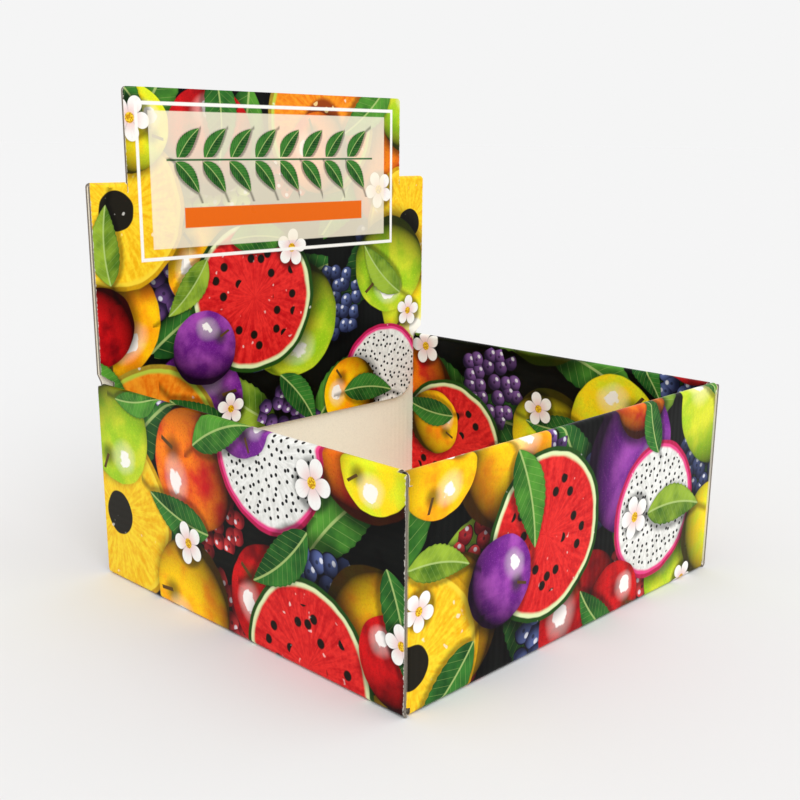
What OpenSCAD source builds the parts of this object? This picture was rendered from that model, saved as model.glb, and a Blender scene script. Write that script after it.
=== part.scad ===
// Counter display box die-cut and folded from one sheet of fluted board. The tray has rolled
// walls. The lid is folded in half and stands up behind it as a header: the rear leaf is creased
// to the back wall, the front leaf hangs from its fold with a tuck inside the tray, and a tab cut
// out of the rear leaf stands up with the front leaf. X runs along the front wall, Y to the back.

/* [Board] */
// Thickness of the fluted board
board_t = 1.2; // [1.0:0.1:2.4]
// Inside radius of a square fold
fold_r = 0.5; // [0.3:0.1:1.2]
// Air between layers that are folded onto each other
layer_gap = 0.2; // [0.1:0.05:0.4]

/* [Tray] */
// Outside width, along the front wall
tray_w = 200; // [160:1:300]
// Outside depth, from the front wall to the back wall
tray_d = 186; // [150:1:300]
// Height of the rolled walls
tray_h = 87; // [60:1:140]
// Gap between the upper ends of the front and back walls and the outer side panels
ear_gap = 0.4; // [0.3:0.1:0.8]

/* [Corner flaps] */
// Length of a corner flap inside the side wall
flap_len = 48; // [25:1:60]
// Drop of the corner flaps below the wall tops
flap_drop = 5; // [4.5:0.5:12]
// Rise of the corner flaps above the floor
flap_lift = 2; // [1:0.5:6]
// Slope cut off the free end of a corner flap
flap_slope = 8; // [2:1:15]

/* [Lock tabs] */
// Width of a lock tab under the inner side panel
lock_w = 26; // [12:1:40]
// Distance between the middles of the two lock tabs of a side
lock_pitch = 92; // [50:1:100]
// Slope on each end of a lock tab
lock_slope = 1.5; // [0.5:0.5:4]
// Clearance of a lock tab in its floor slot
lock_clear = 0.3; // [0.2:0.1:0.6]

/* [Header] */
// Height of the header's shoulders above the tray
shoulder_h = 85; // [60:1:110]
// Width of a shoulder beside the raised tab
shoulder_w = 18; // [10:1:40]
// Height of the raised tab above the shoulders
tab_h = 39; // [15:1:50]
// Corner radius of the raised tab
tab_r = 2; // [1:0.5:10]
// Width of the cut around the raised tab
tab_kerf = 0.5; // [0.4:0.1:1]
// Air between the two leaves
leaf_gap = 1.0; // [0.6:0.1:2]
// Height of the slope at the leaves' lower corners
leaf_slope = 4; // [4:1:20]

/* [Tuck] */
// Depth of the tuck inside the tray
tuck_len = 34; // [20:1:50]
// Radius of the tuck's lower corners
tuck_r = 14; // [5:1:18]
// Clearance of the tuck beside the inner side panels
tuck_clear = 2.2; // [0.5:0.1:3]

/* [Creases] */
// Width of the crushed crease line where a leaf turns
crease_w = 0.6; // [0.4:0.1:1.2]

/* [Hidden] */
$fn = 64;
// Reach of the cutting shapes past the board
over = 1;
half_w = tray_w / 2;
half_d = tray_d / 2;
// Outside radius of a square fold
fold_out = fold_r + board_t;
// A rolled wall holds three layers: outer panel, corner flap and inner panel
wall_t = 3 * board_t + 2 * layer_gap;
roll_r = wall_t / 2 - board_t;
roll_out = wall_t / 2;
outer_run = tray_h - fold_out - roll_out;
inner_run = tray_h - roll_out - board_t - layer_gap;
flap_top = tray_h - flap_drop;
flap_bottom = board_t + flap_lift;
// Half lengths of the front and back walls: at their upper ends, and out to the corner folds
wall_half = half_w - board_t - ear_gap;
to_corner_fold = half_w - board_t - layer_gap - fold_out;
// The leaves: fold radii at the shoulders, planes of the front leaf and heights of the creases
leaf_r = leaf_gap / 2;
leaf_out = leaf_r + board_t;
front_leaf_y = half_d - 2 * leaf_out;
shoulder_z = tray_h + shoulder_h;
shoulder_fold_z = shoulder_z - leaf_out;
tab_half = half_w - shoulder_w;
tab_top = shoulder_z + tab_h;
window_z = 2 * shoulder_fold_z - tab_top - tab_kerf;
tuck_half = half_w - wall_t - tuck_clear;

// Quarter or half ring of a fold, from straight below its middle, turning to the left
module fold_ring(turn, inside_r) {
    outside_r = inside_r + board_t;
    intersection() {
        difference() {
            circle(outside_r);
            circle(inside_r);
        }
        translate([0, -2 * outside_r])
            square([2 * outside_r, 2 * outside_r * turn / 90]);
    }
}

// Board seen edge on, from the origin along +X with its printed face on the right. Each step is
// [flat length, turn to the left in degrees, inside radius of that fold].
module folded_strip(steps, i = 0) {
    if (i < len(steps)) {
        run = steps[i][0];
        turn = steps[i][1];
        inside_r = steps[i][2];
        if (run > 0)
            square([run, board_t]);
        translate([run, board_t + inside_r]) {
            if (turn > 0)
                fold_ring(turn, inside_r);
            rotate(turn)
                translate([0, -board_t - inside_r])
                    folded_strip(steps, i + 1);
        }
    }
}

// Wall that folds up from the floor's edge on the side that heading points to
module wall(heading, half_size, length, steps) {
    rotate(heading)
        translate([half_size - fold_out, 0, 0])
            rotate([90, 0, 0])
                linear_extrude(length, center = true)
                    folded_strip(concat([[0, 90, fold_r]], steps));
}

rolled_steps = [[outer_run, 180, roll_r], [inner_run, 0, 0]];
back_steps = [[tray_h - crease_w / 2 - fold_out, 0, 0]];

// Floor panel with the slots that take the lock tabs
module floor_panel() {
    difference() {
        translate([fold_out - half_w, fold_out - half_d, 0])
            cube([tray_w - 2 * fold_out, tray_d - 2 * fold_out, board_t]);
        for (side = [0, 180], end = [-1, 1])
            rotate(side)
                translate([half_w - wall_t, end * lock_pitch / 2, -over])
                    linear_extrude(board_t + 2 * over)
                        translate([-lock_clear, -lock_w / 2 - lock_clear])
                            square([board_t + 2 * lock_clear, lock_w + 2 * lock_clear]);
    }
}

// Lock tab: a tongue under the inner side panel that fills its floor slot
module lock_tab() {
    tongue_z = board_t + layer_gap;
    rotate([90, 0, 90])
        linear_extrude(board_t)
            polygon([[-lock_w / 2, tongue_z + over], [lock_w / 2, tongue_z + over],
                     [lock_w / 2, tongue_z], [lock_w / 2 - lock_slope, 0],
                     [lock_slope - lock_w / 2, 0], [-lock_w / 2, tongue_z]]);
}

// Rolled side wall. Its roll and inner panel stop short of the front and back walls, and its outer
// panel runs the whole depth.
module side_wall(heading) {
    difference() {
        wall(heading, half_w, tray_d, rolled_steps);
        for (end = [-1, 1]) {
            // The front end of the left wall lies on the other side from that of the right wall
            at_front = heading == 0 ? end < 0 : end > 0;
            reach = (at_front ? wall_t : board_t) + layer_gap;
            start = end > 0 ? half_d - reach : -half_d - over;
            rotate(heading)
                translate([half_w - wall_t - over, start, 0]) {
                    cube([board_t + layer_gap / 2 + over, reach + over, tray_h - roll_out + board_t / 4]);
                    translate([0, 0, tray_h - roll_out])
                        cube([wall_t - board_t + over, reach + over, roll_out + over]);
                }
        }
    }
    for (end = [-1, 1])
        rotate(heading)
            translate([half_w - wall_t, end * lock_pitch / 2, 0])
                lock_tab();
}

// Front or back wall. Above the corner flaps its ends reach the outer side panels, and below they
// stop at the corner folds.
module end_wall(heading, steps) {
    difference() {
        wall(heading, half_d, 2 * wall_half, steps);
        rotate(heading)
            for (end = [0, 1])
                mirror([0, end, 0])
                    translate([half_d - wall_t - over, to_corner_fold, -over])
                        cube([wall_t + 2 * over, half_w, flap_top + layer_gap + over]);
    }
}

// Corner flap: turns off the end of the front wall and runs back inside the right side wall
module corner_flap() {
    intersection() {
        translate([to_corner_fold - board_t, -half_d, 0])
            linear_extrude(tray_h)
                folded_strip([[board_t, 90, fold_r], [flap_len, 0, 0]]);
        rotate([90, 0, 90])
            linear_extrude(tray_w)
                polygon([[-half_d - over, flap_bottom], [-half_d - over, flap_top],
                         [fold_out + flap_len - half_d - flap_slope, flap_top],
                         [fold_out + flap_len - half_d, flap_top - flap_slope],
                         [fold_out + flap_len - half_d, flap_bottom + flap_slope],
                         [fold_out + flap_len - half_d - flap_slope, flap_bottom]]);
    }
}

module tray() {
    color("darkorange") {
        floor_panel();
        side_wall(0);
        side_wall(180);
        end_wall(-90, rolled_steps);
        end_wall(90, back_steps);
        for (across = [0, 1], along = [0, 1])
            mirror([across, 0, 0])
                mirror([0, along, 0])
                    corner_flap();
    }
}

// Outline of a leaf from the front: its lower corners slope in to foot_half at the tray's top
module leaf_outline(foot_half, top_z) {
    foot_z = tray_h + crease_w / 2;
    polygon([[-foot_half, foot_z], [foot_half, foot_z], [half_w, foot_z + leaf_slope],
             [half_w, top_z], [-half_w, top_z], [-half_w, foot_z + leaf_slope]]);
}

// Upright panel, flat at its lower edge, with its two upper corners rounded
module round_topped(half, height, corner_r) {
    translate([-half, 0])
        square([2 * half, height - corner_r]);
    translate([corner_r - half, 0])
        square([2 * (half - corner_r), height]);
    for (side = [-1, 1])
        translate([side * (half - corner_r), height - corner_r])
            circle(corner_r);
}

// Rear leaf: up from the back wall's crease and over the fold at its two shoulders. The window
// between them is where the raised tab was cut out.
module lid_rear_leaf() {
    foot_z = tray_h + crease_w / 2;
    color("gold")
        intersection() {
            translate([0, half_d, foot_z])
                rotate([90, 0, 90])
                    linear_extrude(tray_w, center = true)
                        rotate(90)
                            folded_strip([[shoulder_fold_z - foot_z, 180, leaf_r]]);
            translate([0, half_d + over, 0])
                rotate([90, 0, 0])
                    linear_extrude(2 * leaf_out + 2 * over)
                        difference() {
                            leaf_outline(wall_half, shoulder_z + over);
                            translate([-tab_half - tab_kerf, window_z])
                                square([2 * (tab_half + tab_kerf), tab_top - window_z]);
                        }
        }
}

// Front leaf: one flat panel of leaf, raised tab and tuck
module lid_front_leaf() {
    foot_z = tray_h + crease_w / 2;
    leaf_top = shoulder_fold_z - crease_w;
    color("orangered")
        translate([0, front_leaf_y + board_t, 0])
            rotate([90, 0, 0])
                linear_extrude(board_t) {
                    leaf_outline(tuck_half, leaf_top);
                    translate([0, leaf_top - over])
                        round_topped(tab_half, tab_top - leaf_top + over, tab_r);
                    translate([0, foot_z + over])
                        mirror([0, 1])
                            round_topped(tuck_half, tuck_len + crease_w / 2 + over, tuck_r);
                }
}

tray();
lid_rear_leaf();
lid_front_leaf();
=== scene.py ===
"""Counter display box of printed fluted board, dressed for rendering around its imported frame."""

import math
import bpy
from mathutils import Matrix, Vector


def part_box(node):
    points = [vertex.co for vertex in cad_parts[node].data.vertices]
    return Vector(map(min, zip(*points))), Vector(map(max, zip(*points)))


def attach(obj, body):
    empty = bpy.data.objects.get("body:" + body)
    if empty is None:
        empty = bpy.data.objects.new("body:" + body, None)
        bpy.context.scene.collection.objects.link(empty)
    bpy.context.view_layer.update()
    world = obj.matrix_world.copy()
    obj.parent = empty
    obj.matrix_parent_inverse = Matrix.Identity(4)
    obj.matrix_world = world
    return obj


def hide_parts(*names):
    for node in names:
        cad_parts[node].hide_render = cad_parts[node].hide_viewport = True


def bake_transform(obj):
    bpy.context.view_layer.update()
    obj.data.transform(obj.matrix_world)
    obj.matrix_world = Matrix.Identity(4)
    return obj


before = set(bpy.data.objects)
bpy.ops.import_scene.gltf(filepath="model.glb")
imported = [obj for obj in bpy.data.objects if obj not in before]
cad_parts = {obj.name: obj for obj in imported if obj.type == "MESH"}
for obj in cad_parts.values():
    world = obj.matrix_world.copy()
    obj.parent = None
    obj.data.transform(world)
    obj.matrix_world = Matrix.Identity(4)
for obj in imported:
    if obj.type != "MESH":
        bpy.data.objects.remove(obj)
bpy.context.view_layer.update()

from types import SimpleNamespace

import bpy
import numpy as np
from mathutils import Matrix

bl_info = {
    "name": "Counter display box",
    "version": (1, 0, 0),
    "blender": (4, 5, 0),
    "location": "View3D > Sidebar > Display Box",
    "description": "Folds a printed board display box and its header, and lights it on a pale stage",
    "category": "Object",
}

# Sizes are worked out in millimetres and written to the meshes in metres
MM = 0.001
TRAY_HIGH = np.array(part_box("tray")[1]) / MM
REAR_LOW, REAR_HIGH = (np.array(corner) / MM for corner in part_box("lid_rear_leaf"))
FRONT_LOW, FRONT_HIGH = (np.array(corner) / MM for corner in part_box("lid_front_leaf"))
PRINT, BARE, EDGE, PLAIN = 0, 1, 2, 3


def length_property(name, description, millimetres):
    """Length property with its name, description and default."""
    return bpy.props.FloatProperty(
        name=name, description=description, unit="LENGTH", default=millimetres * MM)


def colour_property(name, description, default):
    """Colour swatch property with its name, description and default."""
    return bpy.props.FloatVectorProperty(
        name=name, description=description, subtype="COLOR", size=3, min=0, max=1, default=default)


class BoardSizes(bpy.types.PropertyGroup):
    """Sizes of the board and its folds."""

    thickness: length_property("Board", "Thickness of the fluted board", float(FRONT_HIGH[1] - FRONT_LOW[1]))
    fold_radius: length_property("Fold radius", "Inside radius of a square fold", 0.5)
    layer_gap: length_property("Layer gap", "Air between folded layers", 0.2)
    flap_length: length_property("Flap length", "Length of a corner flap", 48)
    flap_drop: length_property("Flap drop", "Drop of the corner flaps below the wall tops", 5)
    flap_lift: length_property("Flap lift", "Rise of the corner flaps above the floor", 2)
    lock_width: length_property("Lock width", "Width of a lock tab", 26)
    lock_pitch: length_property("Lock pitch", "Distance between the lock tabs of a side", 92)
    lock_clear: length_property("Lock clearance", "Clearance of a lock tab in its slot", 0.3)
    ear_gap: length_property("Ear gap", "Gap beside the upper ends of the front and back walls", 0.4)
    shoulder: length_property("Shoulder", "Width of a shoulder beside the raised tab", 18)
    kerf: length_property("Kerf", "Width of the cut that shows round the raised tab", 0.15)
    crease: length_property("Crease", "Width of a crushed crease line", 0.6)
    leaf_slope: length_property("Leaf slope", "Height of the slope at the leaves' lower corners", 4)
    tuck_radius: length_property("Tuck radius", "Radius of the tuck's lower corners", 14)
    tuck_clear: length_property("Tuck clearance", "Clearance beside the tuck", 2.2)
    tab_radius: length_property("Tab radius", "Corner radius of the raised tab", 2)
    flute_pitch: length_property("Flute pitch", "Distance between the board's flutes", 3.3)
    cell: length_property("Cell", "Size of a mesh cell on the flat panels", 3)


class PrintColours(bpy.types.PropertyGroup):
    """Colours of the print and of the board."""

    ground: colour_property("Ground", "Dark ground of the print", (0.002, 0.0026, 0.0022))
    panel: colour_property("Panel", "Pale label panel on the header", (0.95, 0.88, 0.70))
    frame_line: colour_property("Frame line", "Thin frame round the label", (0.93, 0.92, 0.88))
    bar: colour_property("Bar", "Plain bar across the label", (0.80, 0.14, 0.006))
    sprig: colour_property("Sprig", "Stalk of the sprig on the label", (0.004, 0.105, 0.022))
    bare_board: colour_property("Bare board", "Unprinted face of the board", (0.97, 0.91, 0.76))
    raw_edge: colour_property("Raw edge", "Cut edges and flutes of the board", (0.27, 0.23, 0.19))
    # Also the colour of the painted sheen on the fold crests
    worn_and_sheen: colour_property("Worn", "Paper that shows where the print is worn", (0.82, 0.78, 0.70))


def sizes():
    """The board's sizes in millimetres, with those that follow from the frame."""
    lengths = bpy.context.scene.box_sizes
    size = SimpleNamespace(**{name: getattr(lengths, name) / MM for name in BoardSizes.__annotations__})
    size.half_w = float(TRAY_HIGH[0])
    size.half_d = float(TRAY_HIGH[1])
    size.tray_h = float(TRAY_HIGH[2])
    size.wall = 3 * size.thickness + 2 * size.layer_gap
    size.roll_out = size.wall / 2
    size.fold_out = size.fold_radius + size.thickness
    # A square fold is this much longer along the printed face than it is high
    size.fold_slack = (math.pi / 2 - 1) * size.fold_out
    size.wall_half = size.half_w - size.thickness - size.ear_gap
    size.to_corner_fold = size.half_w - size.thickness - size.layer_gap - size.fold_out
    size.flap_top = size.tray_h - size.flap_drop
    size.flap_bottom = size.thickness + size.flap_lift
    size.leaf_out = float(REAR_HIGH[1] - REAR_LOW[1]) / 2
    size.front_y = float(FRONT_LOW[1])
    size.shoulder_z = float(REAR_HIGH[2])
    size.fold_z = size.shoulder_z - size.leaf_out
    size.tab_top = float(FRONT_HIGH[2])
    size.tuck_foot = float(FRONT_LOW[2])
    size.tab_half = size.half_w - size.shoulder
    size.tuck_half = size.half_w - size.wall - size.tuck_clear
    size.window_z = 2 * size.fold_z - size.tab_top - size.kerf
    size.crease_band = 4 * size.crease
    return size


# Sheet surfaces, in millimetres

# Liner at a cut edge, and how far in the groove between the liners starts
LINER = 0.22
LINER_LIP = 1.2 * LINER
# Depth of that groove where flute ends show, and along the flutes
GROOVE_END, GROOVE_SIDE = 1.2, 0.3
# Wavy inner ply: its thickness, the places of its rows behind the edge, and its steps in one wave
PLY = 0.18
PLY_ROWS = (0.08, 0.7, GROOVE_END)
WAVE_STEPS = 10
# Arcs of the folds: the angle of one step, and the fewest steps
ARC_STEP, FEWEST_STEPS = math.radians(15), 4
# Wear of the print on the folds, partly a painted sheen on their crests, where 1 is that of a cut edge, and
# the turn between rows that is a fold
FOLD_WEAR_AND_SHEEN, FOLD_TURN = 0.55, 0.05
# Wear and painted sheen of the fold over the shoulders, and the height in radii from which they show
SHOULDER_WEAR_AND_SHEEN, SHOULDER_WORN_AND_SHEEN_FROM = 0.5, 0.3
SHARP_EDGE = math.radians(35)


def cell_corners(shape):
    """Numbers of the four corner points of each cell, in a grid of points of that shape."""
    index = np.arange(math.prod(shape)).reshape(shape)
    return np.stack([index[:-1, :-1], index[:-1, 1:], index[1:, 1:], index[1:, :-1]], -1)


def spread(*parts):
    """Points or vectors from their parts, each carried over the whole grid."""
    return np.stack(np.broadcast_arrays(*parts), -1)


def middles(values):
    """Middles between neighbouring values."""
    return (values[1:] + values[:-1]) / 2


def steps_between(low, high, cell):
    """Evenly spaced values from low to high, about one cell apart."""
    count = max(1, int(round((high - low) / cell)))
    return np.linspace(low, high, count + 1)


def samples(breaks, cell):
    """Values from the first break to the last, about one cell apart, with every break among them."""
    breaks = sorted(set(breaks))
    runs = [steps_between(low, high, cell)[:-1] for low, high in zip(breaks, breaks[1:])]
    return np.append(np.concatenate(runs), breaks[-1])


def section(steps, thickness, cell):
    """Printed face of a folded strip, edge on. From the origin along +X, each step is a flat run,
    then an arc to the left by turn about the inside radius plus the board. Returns the points, the
    unit normals to the bare side and the distance along the face, with the row where each step ends."""
    points, normals, ends = [np.zeros((1, 2))], [np.array([[0.0, 1.0]])], []
    place, heading = np.zeros(2), 0.0
    for run, turn, radius in steps:
        ahead = np.array([math.cos(heading), math.sin(heading)])
        left = np.array([-ahead[1], ahead[0]])
        if run > 0:
            along = steps_between(0, run, cell)[1:, None]
            points.append(place + along * ahead)
            normals.append(np.repeat(left[None], len(along), 0))
            place = place + run * ahead
        if turn > 0:
            arc = heading + np.linspace(0, turn, 1 + max(FEWEST_STEPS, int(turn / ARC_STEP)))[1:]
            centre = place + (radius + thickness) * left
            normals.append(np.stack([-np.sin(arc), np.cos(arc)], 1))
            points.append(centre - (radius + thickness) * normals[-1])
            place, heading = points[-1][-1], heading + turn
        ends.append(sum(len(part) for part in points) - 1)
    points, normals = np.concatenate(points), np.concatenate(normals)
    travel = np.append(0, np.cumsum(np.linalg.norm(np.diff(points, axis=0), axis=1)))
    return points, normals, travel, ends


class SheetMesh:
    """Closed board shells gathered into one mesh, with the flat print coordinates of every face."""

    def __init__(self):
        self.parts = []
        self.count = 0

    def gather(self, points, quads, **data):
        """Takes in the points and quads of one shell with the data that go with them."""
        self.parts.append({"points": points, "quads": quads + self.count, **data})
        self.count += len(points)

    def add(self, face, normal, flat, strip, across, mask=True, slots=(PRINT, BARE), wear=0.0, fluted=0,
            whole=False):
        """One shell: face is the printed grid of points, its bare side lies one board further along
        normal, and only the cells in mask are made. The rim is a groove between two liners, deep
        where flute ends show (edges along the grid axis fluted) and shallow elsewhere. Points in whole
        lie where the sheet goes on into another shell, so its print is not worn there."""
        thickness = sizes().thickness
        shape = face.shape[:2]
        n = math.prod(shape)
        mask = np.broadcast_to(mask, (shape[0] - 1, shape[1] - 1))
        point, side = face.reshape(n, 3), np.broadcast_to(normal, face.shape).reshape(n, 3)
        quads = cell_corners(shape)[mask]
        turn = np.cross(point[quads[:, 1]] - point[quads[:, 0]], point[quads[:, 3]] - point[quads[:, 0]])
        if np.sum(turn * side[quads[:, 0]]) > 0:
            quads = quads[:, ::-1]
        inward = np.zeros((n, 3))
        centre = point[quads].mean(1)
        for corner in range(4):
            np.add.at(inward, quads[:, corner], centre - point[quads[:, corner]])
        inward /= np.maximum(np.linalg.norm(inward, axis=1, keepdims=True), 1e-9)
        index = np.arange(n).reshape(shape)
        padded = np.pad(mask, 1)
        edges = [np.stack([index[:, :-1], index[:, 1:]], -1)[padded[:-1, 1:-1] != padded[1:, 1:-1]],
                 np.stack([index[:-1], index[1:]], -1)[padded[1:-1, :-1] != padded[1:-1, 1:]]]
        depth = np.full(n, GROOVE_END)
        depth[edges[1 - fluted]] = GROOVE_SIDE
        edges = np.concatenate(edges)
        outward = np.cross(point[edges[:, 1]] - point[edges[:, 0]], side[edges[:, 0]])
        backward = np.sum(outward * inward[edges].mean(1), axis=1) > 0
        edges[backward] = edges[backward, ::-1]
        levels = [(0, 0), (LINER, 0), (LINER_LIP, 1), (thickness - LINER_LIP, 1), (thickness - LINER, 0),
                  (thickness, 0)]
        points = [point + deep * side + (back * depth)[:, None] * inward for deep, back in levels]
        last = len(levels) - 1
        rims = [np.concatenate([edges + k * n, edges[:, ::-1] + (k + 1) * n], 1) for k in range(last)]
        all_quads = np.concatenate([quads, quads[:, ::-1] + last * n] + rims)
        cut = np.zeros(n, bool)
        cut[edges] = True
        # Worn share of each point on the printed face: 1 at cut edges, and on the folds wear with a painted
        # sheen on their crests
        worn_and_sheen = np.zeros((last + 1, n))
        worn_and_sheen[0] = np.broadcast_to(wear, shape).ravel()
        worn_and_sheen[0, cut & ~np.broadcast_to(whole, shape).ravel()] = 1
        used, place = np.unique(all_quads, return_inverse=True)
        self.gather(np.concatenate(points)[used], place.reshape(all_quads.shape),
                    slot=np.repeat([*slots, EDGE], [len(quads), len(quads), last * len(edges)]),
                    strip=np.full(len(all_quads), STRIP_NUMBERS.get(strip, NO_STRIP)),
                    flat=flat.reshape(n, 2)[all_quads % n], wear=worn_and_sheen.ravel()[used],
                    across=np.broadcast_to(across, shape).ravel()[used % n])

    def make(self, name, print_name):
        """The gathered shells as one object, with its print layers as face corner attributes."""
        data = {key: np.concatenate([part[key] for part in self.parts]) for key in self.parts[0]}
        quads = data["quads"]
        mesh = bpy.data.meshes.new(name)
        mesh.vertices.add(len(data["points"]))
        mesh.vertices.foreach_set("co", (data["points"] * MM).ravel())
        mesh.loops.add(quads.size)
        mesh.loops.foreach_set("vertex_index", quads.ravel())
        mesh.polygons.add(len(quads))
        mesh.polygons.foreach_set("loop_start", np.arange(0, quads.size, 4))
        mesh.polygons.foreach_set("material_index", data["slot"])
        mesh.update(calc_edges=True)
        mesh.validate()
        for material in board_slots(print_name):
            mesh.materials.append(material)
        mesh.polygons.foreach_set("use_smooth", np.ones(len(quads), bool))
        mesh.set_sharp_from_angle(angle=SHARP_EDGE)
        mesh.uv_layers.new(name="Blank").data.foreach_set("uv", (data["flat"] * MM).ravel())
        for key in ("wear", "across"):
            values = mesh.attributes.new(key, "FLOAT", "POINT")
            values.data.foreach_set("value", data[key])
        for layer in PRINT_LAYERS:
            values = mesh.attributes.new(layer, "FLOAT_VECTOR", "CORNER")
            values.data.foreach_set("vector", layer_coordinates(layer, data).ravel())
        made = bpy.data.objects.new(name, mesh)
        bpy.context.collection.objects.link(made)
        return made


def turned(out, along, up, heading):
    """Points at out from the middle, along the wall and up, turned about Z to the wall's heading."""
    a = math.radians(heading)
    return spread(out * math.cos(a) - along * math.sin(a), out * math.sin(a) + along * math.cos(a), up)


def add_wall(mesh, heading, half_size, steps, along, keep, strip, fluted, whole=lambda z, along: False):
    """Wall strip that folds up from the floor's edge: its section carried along the wall. keep takes
    the cell middles' height and place along, their row and the rows where the steps end, and says
    which cells the blank has. whole takes the points' height and place along, and says where the
    sheet goes on, apart from its lowest row, where it always does."""
    size = sizes()
    points, normals, travel, ends = section(steps, size.thickness, size.cell)
    z = points[:, 1:]
    face = turned(half_size - size.fold_out + points[:, :1], along, z, heading)
    normal = turned(normals[:, :1], 0.0, normals[:, 1:], heading)
    flat = spread(along, travel[:, None])
    row = np.arange(len(points) - 1)[:, None]
    bend = np.linalg.norm(np.gradient(normals, axis=0), axis=1, keepdims=True)
    lowest = np.arange(len(points))[:, None] == 0
    # Folds get a share of wear that is partly a painted sheen on their crests
    mesh.add(face, normal, flat, strip, flat[..., 1 - fluted], keep(middles(z), middles(along), row, ends),
             wear=FOLD_WEAR_AND_SHEEN * (bend > FOLD_TURN), fluted=fluted, whole=whole(z, along) | lowest)


def add_upright(mesh, x, z, y, strip, facing, mask=True, whole=False, slack=0.0):
    """Flat upright panel on a grid of x and z in the plane y, printed towards facing (-1 front). On
    the flat strip it lies slack higher than in space."""
    mesh.add(spread(x, y, z), (0, -facing, 0), spread(-facing * x, z + slack), strip, x, mask, whole=whole)


def add_flutes(mesh, start, along, inward, across, length):
    """Wavy inner ply that shows at a cut edge: a ribbon one groove deep whose height between the
    liners follows a sine along the edge, one wave for each flute."""
    size = sizes()
    start, along, inward, across = np.array([start, along, inward, across], float)
    run = steps_between(0, length, size.flute_pitch / WAVE_STEPS)[:, None, None]
    deep = np.array(PLY_ROWS)[:, None]
    swing = size.thickness / 2 - LINER - PLY
    height = size.thickness / 2 + swing * np.sin(2 * math.pi * run / size.flute_pitch)
    place = start + run * along + deep * inward + (height - PLY / 2) * across
    low = place.reshape(-1, 3)
    count = len(low)
    index = np.arange(count).reshape(place.shape[:2])
    quads = cell_corners(index.shape).reshape(-1, 4)
    rim = np.concatenate([index[:, 0], index[-1, 1:], index[-2::-1, -1], index[0, -2:0:-1]])
    after = np.roll(rim, -1)
    sides = np.stack([rim, rim + count, after + count, after], 1)
    faces = np.concatenate([quads, quads[:, ::-1] + count, sides])
    if np.dot(np.cross(along, inward), across) > 0:
        faces = faces[:, ::-1]
    total = len(faces)
    mesh.gather(np.concatenate([low, low + PLY * across]), faces, slot=np.full(total, EDGE),
                strip=np.full(total, NO_STRIP), flat=np.zeros((total, 4, 2)), wear=np.zeros(2 * count),
                across=np.zeros(2 * count))


# Print layout: loose scatters of fruit shapes on the flat strips

# Layers from the lowest up: their shapes' radii, how many there are, and the space between them in radii
PRINT_LAYERS = {
    "leaf_low": {"radius": (26, 36), "count": 16, "space": 0.72},
    "bunch": {"radius": (20, 27), "count": 12, "space": 1.04},
    "round_low": {"radius": (22, 33), "count": 14, "space": 1.05},
    "wheel": {"radius": (29, 42), "count": 8, "space": 1.12},
    "round_high": {"radius": (17, 26), "count": 7, "space": 1.5},
    "leaf_high": {"radius": (15, 22), "count": 11, "space": 1.25},
    "blossom": {"radius": (8, 11), "count": 5, "space": 3.0},
    "sprig": {"radius": (1, 1), "count": 0, "space": 1.0},
}
# Strips of the blank: the seeds of their scatters, and how far they reach across and up
STRIPS = {
    "front": (11, (-100, 100), (0, 178)),
    "left": (23, (-93, 93), (0, 178)),
    "right": (37, (-93, 93), (0, 178)),
    "back": (53, (-100, 100), (0, 178)),
    "header": (71, (-100, 100), (50, 215)),
}
STRIP_NUMBERS = {name: number for number, name in enumerate(STRIPS)}
NO_STRIP = -1
# Reach of a shape with its shadow, in radii
SHADOW_REACH = 1.3
SCATTER_TRIES = 900
# Varieties go round in even steps, each a little off its step
FIRST_VARIETY, VARIETY_STEP, VARIETY_DRIFT = 0.5, 0.618, 0.1
# Place that lies outside every shape, in radii
FAR_AWAY = 9.0
# Reach of a face from its middle to its corners
FACE_REACH = 2.0


def scatter(random, low, high, layer):
    """Places, radii, turns and varieties of one layer's shapes. Each try is kept where it clears
    the shapes before it by space times the sum of their radii."""
    rule = PRINT_LAYERS[layer]
    shapes = np.zeros((0, 5))
    for _ in range(SCATTER_TRIES):
        if len(shapes) == rule["count"]:
            break
        radius = random.uniform(*rule["radius"])
        place = random.uniform(low, high)
        turn = random.uniform(-math.pi, math.pi)
        gap = np.linalg.norm(shapes[:, :2] - place, axis=1) - rule["space"] * (shapes[:, 2] + radius)
        if np.all(gap > 0):
            variety = (FIRST_VARIETY + VARIETY_STEP * len(shapes) + VARIETY_DRIFT * random.uniform()) % 1
            shapes = np.vstack([shapes, [*place, radius, turn, variety]])
    return shapes


def strip_layouts():
    """Every strip's scatters, layer by layer, from that strip's own seed."""
    layouts = {}
    for name, (seed, across, up) in STRIPS.items():
        random = np.random.RandomState(seed)
        low, high = np.transpose([across, up])
        layouts[name] = {layer: scatter(random, low, high, layer) for layer in PRINT_LAYERS}
    layouts["header"]["sprig"] = sprig_layout()
    return layouts


def layer_coordinates(layer, data):
    """For each face corner, its place in the nearest shape of that layer: along and across the
    shape in radii, turned with it, and the shape's variety. Faces away from shapes get a far place."""
    flat = data["flat"]
    local = np.full((len(flat), 4, 3), FAR_AWAY)
    middle = flat.mean(1)
    nearest = np.full(len(flat), SHADOW_REACH)
    for strip, layout in shared("layouts", strip_layouts).items():
        on_strip = (data["strip"] == STRIP_NUMBERS[strip]) & (data["slot"] == PRINT)
        for u, v, radius, turn, variety in layout[layer]:
            share = (np.linalg.norm(middle - (u, v), axis=1) - FACE_REACH) / radius
            here = np.nonzero(on_strip & (share < nearest))[0]
            nearest[here] = share[here]
            offset = (flat[here] - (u, v)) / radius
            local[here, :, 0] = offset[..., 0] * math.cos(turn) + offset[..., 1] * math.sin(turn)
            local[here, :, 1] = offset[..., 1] * math.cos(turn) - offset[..., 0] * math.sin(turn)
            local[here, :, 2] = variety
    return local


# Shader helpers


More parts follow.
